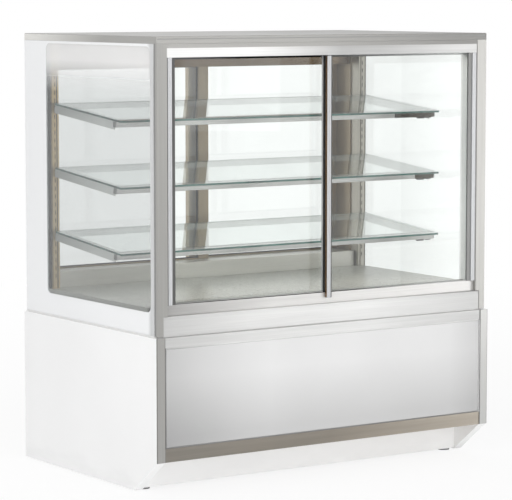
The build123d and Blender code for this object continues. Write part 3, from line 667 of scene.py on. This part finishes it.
strip("stile_seal", "Z", (sill_high.z + STILE_SEAL_LIFT, stile_high.z - STILE_SEAL_DROP),
      offset(stile_low.x, STILE_SEAL_X), offset(stile_low.y, STILE_SEAL_Y),
      black_rubber, "front_door_right")
strip("stile_bead", "Z", inside(stile_low.z, stile_high.z, MM),
      offset(stile_high.x, STILE_BEAD_X), offset(stile_low.y, STILE_BEAD_Y),
      dark_rubber, "front_door_right", 0.3 * MM)

# Seals beside the jambs, joints of post and jamb, gaskets and seams of the end glass, and painted shade on
# the standards: a black sheet on the outer side, a black strip behind the slots and dark lines on the front
JAMB_SEAL_WIDTH = 13 * MM
JAMB_SEAL_Y = (4 * MM, 8 * MM)
JAMB_JOINT_X = (-3 * MM, -GAP)
JAMB_JOINT_Y = (-0.9 * MM, -HAIR)
END_GASKET_Y = (-9.8 * MM, -0.2 * MM)
STANDARD_SIDE_SHADE_X = (SLIT, 0.9 * MM)
STANDARD_SIDE_SHADE_FRONT = 0.5 * MM
STANDARD_SLOT_SHADE_END = 10 * MM
STANDARD_SLOT_SHADE_MARGIN = 2.2 * MM
STANDARD_SLOT_SHADE_Y = (8.2 * MM, 9.2 * MM)
STANDARD_SHADOW_LINES = ((1.2 * MM, 3.6 * MM), (18.5 * MM, 22.5 * MM))
STANDARD_SHADOW_LINE_Y = (-0.25 * MM, SLIT)
standard_low, standard_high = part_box("shelf_standard_right")
deck_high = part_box("deck_pan")[1]
cabinet_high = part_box("end_panel_right")[1]
for side, end in SIDES:
    # Left seal and joint in dark rubber and right ones in grey: painted shade on the left, painted light on
    # the right
    seal_rubber_by_light = dark_rubber if side < 0 else grey_rubber
    strip(f"jamb_seal_{end}", "Z", opening_z, at_side(side, (jamb_low.x, jamb_low.x - JAMB_SEAL_WIDTH)),
          offset(jamb_low.y, JAMB_SEAL_Y), seal_rubber_by_light, "case", 0.8 * MM)
    strip(f"jamb_joint_{end}", "Z", opening_z, at_side(side, offset(jamb_high.x, JAMB_JOINT_X)),
          offset(jamb_low.y, JAMB_JOINT_Y), seal_rubber_by_light, "case", 0.2 * MM)
    strip(f"end_gasket_{end}", "Z", (glass_low.z, glass_high.z), at_side(side, (glass_low.x, glass_high.x)),
          offset(glass_low.y, END_GASKET_Y), grey_rubber, "case")
    strip(f"end_seam_{end}", "Y", (glass_low.y, glass_high.y),
          at_side(side, (deck_high.x + GAP, glass_high.x)), inside(cabinet_high.z, glass_low.z, SLIT),
          seam_rubber, "case", 0.3 * MM)
    strip(f"standard_side_shade_{end}", "Z", (standard_low.z, standard_high.z),
          at_side(side, offset(standard_high.x, STANDARD_SIDE_SHADE_X)),
          (standard_low.y - STANDARD_SIDE_SHADE_FRONT, standard_high.y - MM),
          black_rubber, "case", 0.2 * MM)
    strip(f"standard_slot_shadow_{end}", "Z", inside(standard_low.z, standard_high.z, STANDARD_SLOT_SHADE_END),
          at_side(side, inside(standard_low.x, standard_high.x, STANDARD_SLOT_SHADE_MARGIN)),
          offset(standard_low.y, STANDARD_SLOT_SHADE_Y), black_rubber, "case", 0.2 * MM)
    lines = []
    for near, far in STANDARD_SHADOW_LINES:
        line_x = at_side(side, (standard_high.x - near, standard_high.x - far))
        line = rounded(*line_x, *offset(standard_low.y, STANDARD_SHADOW_LINE_Y), GAP)
        lines.append(extruded([line], "Z", *inside(standard_low.z, standard_high.z, MM)))
    piece(f"standard_shadow_lines_{end}", joined(lines), umber, "case")

# Pale sheet of painted light over the door groove that the right jamb doesn't use
JAMB_LIGHT_END = 0.5 * MM
JAMB_LIGHT_X = (-0.75 * MM, -HAIR)
JAMB_LIGHT_FRONT = 29.5 * MM
strip("jamb_flank_light", "Z", inside(*opening_z, JAMB_LIGHT_END), offset(jamb_low.x, JAMB_LIGHT_X),
      (jamb_low.y + JAMB_LIGHT_FRONT, jamb_high.y - JAMB_LIGHT_END),
      pale_flank_light, "case", 0.2 * MM)

# Lips on the sill and between the header's two grooves, and a grey strip of painted shade in the gap above
# the bottom rail
SILL_LIP_Y = (0.3 * MM, 5.6 * MM)
SILL_LIP_Z = (-SLIT, 1.6 * MM)
HEADER_LIP_Y = (30.5 * MM, 39.5 * MM)
HEADER_LIP_Z = (-6.8 * MM, SLIT)
RAIL_FACE_HEIGHT = 41 * MM
RAIL_SHADE_FRONT = 2 * MM
RAIL_SHADE_DROP = 0.5 * MM
between_jambs = (-jamb_low.x, jamb_low.x)
panel_low, panel_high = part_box("front_panel")
panel_x = (panel_low.x, panel_high.x)
rail_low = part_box("bottom_rail")[0]
strip("sill_lip", "X", between_jambs, offset(sill_low.y, SILL_LIP_Y), offset(sill_high.z, SILL_LIP_Z),
      lip_rubber, "case")
strip("header_lip", "X", between_jambs, offset(header_low.y, HEADER_LIP_Y),
      offset(header_low.z, HEADER_LIP_Z), lip_rubber, "case")
strip("rail_gap_shade", "X", panel_x, (rail_low.y + RAIL_SHADE_FRONT, panel_high.y),
      (rail_low.z + RAIL_FACE_HEIGHT + SLIT, panel_low.z - RAIL_SHADE_DROP), grey_rubber, "case")

# Joints above and below the trim band, under the apron and over the front panel
TRIM_FACE_HEIGHT = 31 * MM
PANEL_JOINT_Y = (0.8 * MM, 4 * MM)
apron_low, apron_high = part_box("apron")
band_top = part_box("front_panel_trim")[1].z
strip("panel_joint", "X", panel_x, offset(panel_low.y, PANEL_JOINT_Y),
      inside(panel_high.z, band_top - TRIM_FACE_HEIGHT, GAP), fascia_rubber, "case")
strip("apron_joint", "X", (apron_low.x, apron_high.x), (apron_low.y + MM, apron_high.y),
      inside(band_top, apron_low.z, GAP), pale_rubber, "case")

# Grey strip of painted shadow under the top panel, and a dark line along the panel's front edge
HEADER_SHADOW_Y = (-0.8 * MM, -HAIR)
HEADER_SHADOW_Z = (-13 * MM, -0.3 * MM)
TOP_LINE_END = 3 * MM
TOP_LINE_Y = (-0.5 * MM, 0.3 * MM)
TOP_LINE_Z = (-9.5 * MM, -6.7 * MM)
top_low, top_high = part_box("top_panel")
strip("header_shadow_strip", "X", (header_low.x, header_high.x), offset(header_low.y, HEADER_SHADOW_Y),
      offset(top_low.z, HEADER_SHADOW_Z), finishes["top_laminate"], "case", 0.3 * MM)
strip("top_dark_line", "X", inside(top_low.x, top_high.x, TOP_LINE_END), offset(top_low.y, TOP_LINE_Y),
      offset(top_high.z, TOP_LINE_Z), grey_rubber, "case", 0.2 * MM)

# Canopy lamp cover
CANOPY_COVER_HALF = 9.8 * MM
CANOPY_COVER_Z = (0.6 * MM, 2.9 * MM)
CANOPY_COVER_END = 2 * MM
canopy_low, canopy_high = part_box("canopy_light")
canopy_y = (canopy_low.y + canopy_high.y) / 2
strip("canopy_cover", "X", inside(canopy_low.x, canopy_high.x, CANOPY_COVER_END),
      (canopy_y - CANOPY_COVER_HALF, canopy_y + CANOPY_COVER_HALF), offset(canopy_low.z, CANOPY_COVER_Z),
      canopy_lamp, "case", MM)

# Shelf lamps: cover, end caps, sleeve and plug, drawn round the bar's centre and turned into its slope
BAR_HALF_WIDTH = 8 * MM
BAR_HALF_HEIGHT = 9 * MM
COVER_HALF_WIDTH = 4.8 * MM
COVER_Z = (GAP, 1.9 * MM)
COVER_END = 9 * MM
COVER_RADIUS = 0.4 * MM
CAP_X = (HAIR, 1.6 * MM)
CAP_DROP = 0.3 * MM
CAP_RADIUS = 1.5 * MM
SLEEVE_LENGTHS = {"upper": 165 * MM, "middle": 80 * MM}
SLEEVE_WALL = 0.2 * MM
SLEEVE_DROP = 0.5 * MM
SLEEVE_END = 2 * MM
PLUG_HALF_WIDTH = 5 * MM
PLUG_HEIGHT = 5 * MM
PLUG_X = (-64 * MM, -38 * MM)
PLUG_RADIUS = 1.2 * MM
CLIP_HALF_WIDTH = 6.5 * MM
CLIP_HEIGHT = 3 * MM
CLIP_X = (-30 * MM, -12 * MM)
CLIP_RADIUS = 0.8 * MM


def bar_loop(centre, tilt, half_width, bottom, top, radius):
    """A rounded outline across a shelf lamp's bar, drawn round its centre and turned into its slope."""
    cosine = math.cos(tilt)
    sine = math.sin(tilt)
    return [
        (centre[0] + along * cosine - up * sine, centre[1] + along * sine + up * cosine)
        for along, up in rounded(-half_width, half_width, bottom, top, radius)
    ]


joints = {joint["name"]: joint for joint in frame["record"]["behaviour"]["joints"]}
for level in ("lower", "middle", "upper"):
    body = f"shelf_{level}"
    bar_tilt = math.radians(joints[f"{body}_tilt"]["range_deg"][1])
    bar_low, bar_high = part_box(f"shelf_light_{level}")
    bar_centre = ((bar_low.y + bar_high.y) / 2, (bar_low.z + bar_high.z) / 2)
    slope = (bar_centre, bar_tilt)
    underside = -BAR_HALF_HEIGHT
    cover = bar_loop(*slope, COVER_HALF_WIDTH, *offset(underside, COVER_Z), COVER_RADIUS)
    cover_mesh = extruded([cover], "X", *inside(bar_low.x, bar_high.x, COVER_END))
    piece(f"shelf_cover_{level}", cover_mesh, shelf_lamp, body)
    cap = bar_loop(*slope, BAR_HALF_WIDTH, underside, BAR_HALF_HEIGHT - CAP_DROP, CAP_RADIUS)
    caps = [extruded([cap], "X", *at_side(side, offset(bar_high.x, CAP_X))) for side in (-1, 1)]
    piece(f"shelf_caps_{level}", joined(caps), grey_rubber, body)
    if level in SLEEVE_LENGTHS:
        sleeve = bar_loop(*slope, BAR_HALF_WIDTH + SLEEVE_WALL, underside - SLEEVE_WALL,
                          BAR_HALF_HEIGHT - SLEEVE_DROP, MM)
        sleeve_mesh = extruded([sleeve], "X", *offset(bar_high.x, (-SLEEVE_LENGTHS[level], -SLEEVE_END)))
        piece(f"shelf_sleeve_{level}", sleeve_mesh, dark_sleeve, body)
    plug = bar_loop(*slope, PLUG_HALF_WIDTH, *offset(underside, (-PLUG_HEIGHT, -SLIT)), PLUG_RADIUS)
    clip = bar_loop(*slope, CLIP_HALF_WIDTH, *offset(underside, (-CLIP_HEIGHT, -SLIT)), CLIP_RADIUS)
    plugs = [
        extruded([plug], "X", *offset(bar_high.x, PLUG_X)),
        extruded([clip], "X", *offset(bar_high.x, CLIP_X)),
    ]
    piece(f"shelf_plug_{level}", joined(plugs), black_rubber, body)

# Gaskets round both faces of each rear door pane
REAR_STILE = 40 * MM
REAR_RAIL = 18 * MM
REAR_GASKET = 3 * MM
REAR_GASKET_OUTER_RADIUS = 0.2 * MM
REAR_GASKET_INNER_RADIUS = 2 * MM
REAR_GASKET_DEPTH = 2.2 * MM
for side, end in SIDES:
    frame_low, frame_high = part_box(f"rear_door_frame_{end}")
    face_low, face_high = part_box(f"rear_door_glass_{end}")
    pane_x = inside(frame_low.x, frame_high.x, REAR_STILE)
    pane_z = inside(frame_low.z, frame_high.z, REAR_RAIL)
    loops = [
        rounded(*pane_x, *pane_z, REAR_GASKET_OUTER_RADIUS),
        rounded(*inside(*pane_x, REAR_GASKET), *inside(*pane_z, REAR_GASKET), REAR_GASKET_INNER_RADIUS),
    ]
    gaskets = [
        extruded(loops, "Y", *offset(face_low.y, (-REAR_GASKET_DEPTH, -SLIT))),
        extruded(loops, "Y", *offset(face_high.y, (SLIT, REAR_GASKET_DEPTH))),
    ]
    piece(f"rear_gasket_{end}", joined(gaskets), black_rubber, f"rear_door_{end}")

# Black crosses of painted shade for the recesses in the screws of the service panel
SCREW_COLUMNS = 4
SCREW_HEAD = 4 * MM
CROSS_ARM = 2.3 * MM
CROSS_HALF_WIDTH = 0.5 * MM
CROSS_Y = (-GAP, 0.04 * MM)


def cross(x, z):
    """The outline of a cross round a point."""
    wide, thin = CROSS_ARM, CROSS_HALF_WIDTH
    quarter = ((thin, thin), (thin, wide), (-thin, wide))
    points = []
    for cosine, sine in ((1, 0), (0, 1), (-1, 0), (0, -1)):
        points.extend((x + u * cosine - v * sine, z + u * sine + v * cosine) for u, v in quarter)
    return points


screws_low, screws_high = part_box("panel_screws")
first_x, last_x = inside(screws_low.x, screws_high.x, SCREW_HEAD)
crosses = []
for column in range(SCREW_COLUMNS):
    for z in inside(screws_low.z, screws_high.z, SCREW_HEAD):
        x = first_x + column * (last_x - first_x) / (SCREW_COLUMNS - 1)
        crosses.append(extruded([cross(x, z)], "Y", *offset(screws_high.y, CROSS_Y)))
piece("screw_recess_shade", joined(crosses), black_rubber, "case")

# Filter mat behind the vents
VENT_HALF_WIDTH = 206 * MM
VENT_HALF_HEIGHT = 36 * MM
VENT_DROP = 182 * MM
MAT_Y = (-3.3 * MM, -0.3 * MM)
MAT_RADIUS = 4 * MM
service_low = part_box("rear_panel")[0]
vent_z = band_top - VENT_DROP
strip("filter_mat", "Y", offset(service_low.y, MAT_Y), (-VENT_HALF_WIDTH, VENT_HALF_WIDTH),
      (vent_z - VENT_HALF_HEIGHT, vent_z + VENT_HALF_HEIGHT),
      filter_felt, "case", MAT_RADIUS)

# Rubber pads round the feet, where they stand on the floor
PAD_PROUD = 0.6 * MM
PAD_WIDTH = 4 * MM
PAD_HEIGHT = 2 * MM
PAD_STEPS = 48
for row in ("front", "rear"):
    for side, end in SIDES:
        foot = f"levelling_foot_{row}_{end}"
        foot_low, foot_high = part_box(foot)
        foot_centre = ((foot_low.x + foot_high.x) / 2, (foot_low.y + foot_high.y) / 2)
        foot_radius = (foot_high.x - foot_low.x) / 2
        loops = [
            circle(foot_radius + PAD_PROUD, PAD_STEPS, foot_centre),
            circle(foot_radius - PAD_WIDTH, PAD_STEPS, foot_centre),
        ]
        pad = extruded(loops, "Z", 0.0, PAD_HEIGHT)
        piece(f"foot_pad_{row}_{end}", pad, black_rubber, foot)

# Pale marks for on and off on the light switch, a bar above and a ring below
SWITCH_SWING = math.radians(24)
HALF_ANGLE = math.radians(52)
ROCKER_RADIUS = 9 * MM
ROCKER_CENTRE = 4 * MM
MARK_DEPTH = (-GAP, 0.08 * MM)
BAR_MARK = (0.3 * MM, 1.4 * MM)
RING_MARK = (1.5 * MM, 1.0 * MM)
RING_STEPS = 24
switch = Vector(joints["light_switch_rock"]["pos_m"])
rest_turn = SWITCH_SWING / 2


def rocker_face(direction):
    """The middle of one face of the rocker and the unit vectors along it and out of it, in Y and Z."""
    tip_turn = rest_turn + direction * HALF_ANGLE
    tip = Vector((math.cos(tip_turn), math.sin(tip_turn))) * ROCKER_RADIUS
    middle = Vector((math.cos(rest_turn), math.sin(rest_turn))) * ROCKER_CENTRE
    along = (tip - middle).normalized()
    out = Vector((along.y, -along.x)) * direction
    return (tip + middle) / 2, along, out


def on_rocker(direction, outlines):
    """Pull outlines, drawn in X and along one face of the rocker, a little out of that face."""
    centre, along, out = rocker_face(direction)
    mesh = extruded(outlines, "Z", *MARK_DEPTH)
    for vertex in mesh.verts:
        x, reach, height = vertex.co
        flat = centre + along * reach + out * height
        vertex.co = (switch.x + x, switch.y + flat.x, switch.z + flat.y)
    bmesh.ops.recalc_face_normals(mesh, faces=mesh.faces)
    return mesh


bar_mark = rounded(-BAR_MARK[0], BAR_MARK[0], -BAR_MARK[1], BAR_MARK[1], GAP)
ring_mark = [circle(radius, RING_STEPS) for radius in RING_MARK]
marks = [on_rocker(1, [bar_mark]), on_rocker(-1, ring_mark)]
piece("switch_marks", joined(marks), enamel, "light_switch")

# Floor: white to the eye, with the object's soft shadow near it
FLOOR_HALF = 400.0
FLOOR_COLOUR = (246, 246, 246)
SHADOW_NEAR = 1.2
SHADOW_FAR = 5.0
WHITE_NEAR = 0.86
floor_finish = Surface("floor")
floor_finish.set(Roughness=0.9)
floor_tone = floor_finish.spread(floor_finish.noise(0.8, detail=2), 0.99, 1.01)
floor_finish.feed("Base Color", floor_finish.scaled(FLOOR_COLOUR, floor_tone))
distance = floor_finish.nodes.new("ShaderNodeVectorMath")
distance.operation = "LENGTH"
floor_finish.links.new(floor_finish.coordinates.outputs["Object"], distance.inputs[0])
floor_finish.shown_white(
    floor_finish.spread(distance.outputs["Value"], WHITE_NEAR, 1.0, SHADOW_NEAR, SHADOW_FAR))
floor_corners = [(x * FLOOR_HALF, y * FLOOR_HALF, 0) for x, y in ((-1, -1), (1, -1), (1, 1), (-1, 1))]
floor = placed("floor", flat_face(floor_corners), floor_finish.material)

# Surround: white where it is seen, a soft even light elsewhere
SURROUND_LIGHT = 0.62
world = bpy.data.worlds.new("surround")
scene.world = world
world.use_nodes = True
tree = world.node_tree
path = tree.nodes.new("ShaderNodeLightPath")
seen = path.outputs["Is Camera Ray"]
for kind in ("Is Glossy Ray", "Is Transmission Ray"):
    either = tree.nodes.new("ShaderNodeMath")
    either.operation = "MAXIMUM"
    tree.links.new(seen, either.inputs[0])
    tree.links.new(path.outputs[kind], either.inputs[1])
    seen = either.outputs[0]
strength = tree.nodes.new("ShaderNodeMapRange")
strength.inputs["To Min"].default_value = SURROUND_LIGHT
tree.links.new(seen, strength.inputs["Value"])
tree.links.new(strength.outputs[0], tree.nodes["Background"].inputs["Strength"])
tree.nodes["Background"].inputs["Color"].default_value = (1, 1, 1, 1)


# Soft lamps
def lamp(name, place, target, size, power):
    """A round soft lamp that the eye, mirrors and panes don't show."""
    data = bpy.data.lights.new(name, "AREA")
    data.shape = "DISK"
    data.size = size
    data.energy = power
    result = bpy.data.objects.new(name, data)
    result.location = place
    result.rotation_euler = (Vector(target) - Vector(place)).to_track_quat("-Z", "Y").to_euler()
    result.visible_camera = False
    result.visible_glossy = False
    result.visible_transmission = False
    scene.collection.objects.link(result)


lamp("key", place=(-5.0, -3.5, 4.5), target=(0, 0, 0.7), size=4.0, power=165)
lamp("fill", place=(3.5, -6.0, 2.5), target=(0, 0, 0.6), size=4.0, power=50)
lamp("low_front", place=(-1.1, -3.5, 0.28), target=(-0.2, -0.3, 0.03), size=1.4, power=60)
lamp("rear", place=(1.5, 5.5, 3.5), target=(0, 0, 0.7), size=4.0, power=60)


# Bright cards that only metal and glass reflect
def card(name, middle, half_width, low, high, strength, full_from):
    """An upright glowing card, turned towards the object, that gains strength from its left edge."""
    finish = Surface(name)
    finish.nodes.remove(finish.shader)
    glow = finish.nodes.new("ShaderNodeEmission")
    place = finish.axis_of("Object", "X")
    finish.links.new(finish.spread(place, 0.0, strength, -half_width, full_from), glow.inputs["Strength"])
    finish.links.new(glow.outputs[0], finish.output.inputs["Surface"])
    corners = ((-half_width, low), (half_width, low), (half_width, high), (-half_width, high))
    result = placed(name, flat_face([(u, 0, z) for u, z in corners]), finish.material)
    result.location = (*middle, 0)
    result.rotation_euler = (0, 0, CAMERA_YAW)
    for kind in ("camera", "diffuse", "transmission", "shadow", "volume_scatter"):
        setattr(result, f"visible_{kind}", False)


card("card_right", middle=(2.46, -2.5), half_width=0.42, low=0.0, high=1.9, strength=3.2, full_from=-0.15)
card("card_header", middle=(1.07, -2.5), half_width=0.22, low=0.95, high=1.7, strength=2.1, full_from=-0.16)
